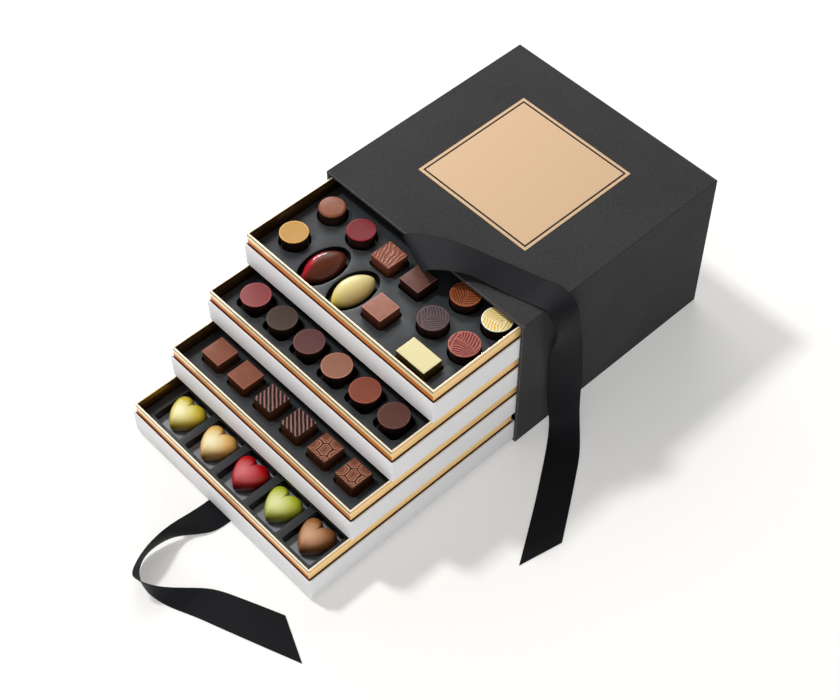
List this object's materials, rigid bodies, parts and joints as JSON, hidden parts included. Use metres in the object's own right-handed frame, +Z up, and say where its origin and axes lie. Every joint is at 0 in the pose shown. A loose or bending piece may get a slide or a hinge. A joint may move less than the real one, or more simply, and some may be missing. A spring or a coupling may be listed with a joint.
{
  "type": "chocolate box",
  "caption": "Slipcase chocolate box with an open front, pull-out trays with gold collars and formed inserts full of moulded chocolates, a foil label and closing ribbons.",
  "frame": {"origin": "middle of the case's underside", "axes": "+Z up, -Y out of the case's open front, X across the opening; trays pull out along -Y"},
  "size_m": [0.2915, 0.4899, 0.1449],
  "materials": {
    "case_board": "grey bookbinder's board, covered",
    "case_paper": "black embossed covering paper",
    "case_card": "matt black card",
    "label_foil": "copper metallised paper, satin",
    "ribbon": "black ribbed ribbon",
    "tray_board": "white paper-covered board, fine grain",
    "collar_card": "gold metallised card, mirror-like",
    "insert_sheet": "thermoformed black sheet, satin",
    "mustard_rounds": "matt",
    "dome_rounds": "satin",
    "red_rounds": "matt",
    "egg_ovals": "gloss",
    "cream_ovals": "gloss",
    "rough_squares": "rough",
    "dark_squares": "satin",
    "milk_squares": "satin",
    "purple_waves": "matt",
    "copper_waves": "satin",
    "yellow_waves": "matt",
    "red_waves": "matt",
    "foil_ingots": "gold foil wrapper",
    "raspberry_rounds": "matt",
    "olive_rounds": "matt",
    "plum_rounds": "matt",
    "milk_rounds": "matt",
    "cinnamon_rounds": "matt",
    "dark_rounds": "matt",
    "plain_squares": "satin",
    "striped_squares": "satin, striped",
    "crackle_squares": "satin, with raised lines",
    "yellow_hearts": "satin",
    "tan_hearts": "satin",
    "red_hearts": "satin",
    "green_hearts": "satin",
    "brown_hearts": "satin"
  },
  "bodies": {
    "sleeve": {"ribbon_lower": "ribbon", "ribbon_upper": "ribbon", "sleeve_back_board": "case_board", "sleeve_base_card": "case_card", "sleeve_bottom_board": "case_board", "sleeve_left_board": "case_board", "sleeve_liner_paper": "case_paper", "sleeve_right_board": "case_board", "sleeve_top_board": "case_board", "sleeve_wrap_paper": "case_paper", "top_label": "label_foil"},
    "tray_1": {"tray_1_base": "tray_board", "tray_1_collar": "collar_card", "tray_1_copper_waves": "copper_waves", "tray_1_cream_ovals": "cream_ovals", "tray_1_dark_squares": "dark_squares", "tray_1_dome_rounds": "dome_rounds", "tray_1_egg_ovals": "egg_ovals", "tray_1_foil_ingots": "foil_ingots", "tray_1_insert": "insert_sheet", "tray_1_milk_squares": "milk_squares", "tray_1_mustard_rounds": "mustard_rounds", "tray_1_purple_waves": "purple_waves", "tray_1_red_rounds": "red_rounds", "tray_1_red_waves": "red_waves", "tray_1_rough_squares": "rough_squares", "tray_1_yellow_waves": "yellow_waves"},
    "tray_2": {"tray_2_base": "tray_board", "tray_2_cinnamon_rounds": "cinnamon_rounds", "tray_2_collar": "collar_card", "tray_2_dark_rounds": "dark_rounds", "tray_2_insert": "insert_sheet", "tray_2_milk_rounds": "milk_rounds", "tray_2_olive_rounds": "olive_rounds", "tray_2_plum_rounds": "plum_rounds", "tray_2_raspberry_rounds": "raspberry_rounds"},
    "tray_3": {"tray_3_base": "tray_board", "tray_3_collar": "collar_card", "tray_3_crackle_squares": "crackle_squares", "tray_3_insert": "insert_sheet", "tray_3_plain_squares": "plain_squares", "tray_3_striped_squares": "striped_squares"},
    "tray_4": {"tray_4_base": "tray_board", "tray_4_brown_hearts": "brown_hearts", "tray_4_collar": "collar_card", "tray_4_green_hearts": "green_hearts", "tray_4_insert": "insert_sheet", "tray_4_red_hearts": "red_hearts", "tray_4_tan_hearts": "tan_hearts", "tray_4_yellow_hearts": "yellow_hearts"}
  },
  "joints": [
    {"name": "tray_1_slide", "type": "slide", "parent": "sleeve", "child": "tray_1", "axis": [0, -1, 0], "range_m": [-0.08302, 0.11898]},
    {"name": "tray_2_slide", "type": "slide", "parent": "sleeve", "child": "tray_2", "axis": [0, -1, 0], "range_m": [-0.12181, 0.08019]},
    {"name": "tray_3_slide", "type": "slide", "parent": "sleeve", "child": "tray_3", "axis": [0, -1, 0], "range_m": [-0.16099, 0.04101]},
    {"name": "tray_4_slide", "type": "slide", "parent": "sleeve", "child": "tray_4", "axis": [0, -1, 0], "range_m": [-0.20099, 0.00101]}
  ]
}
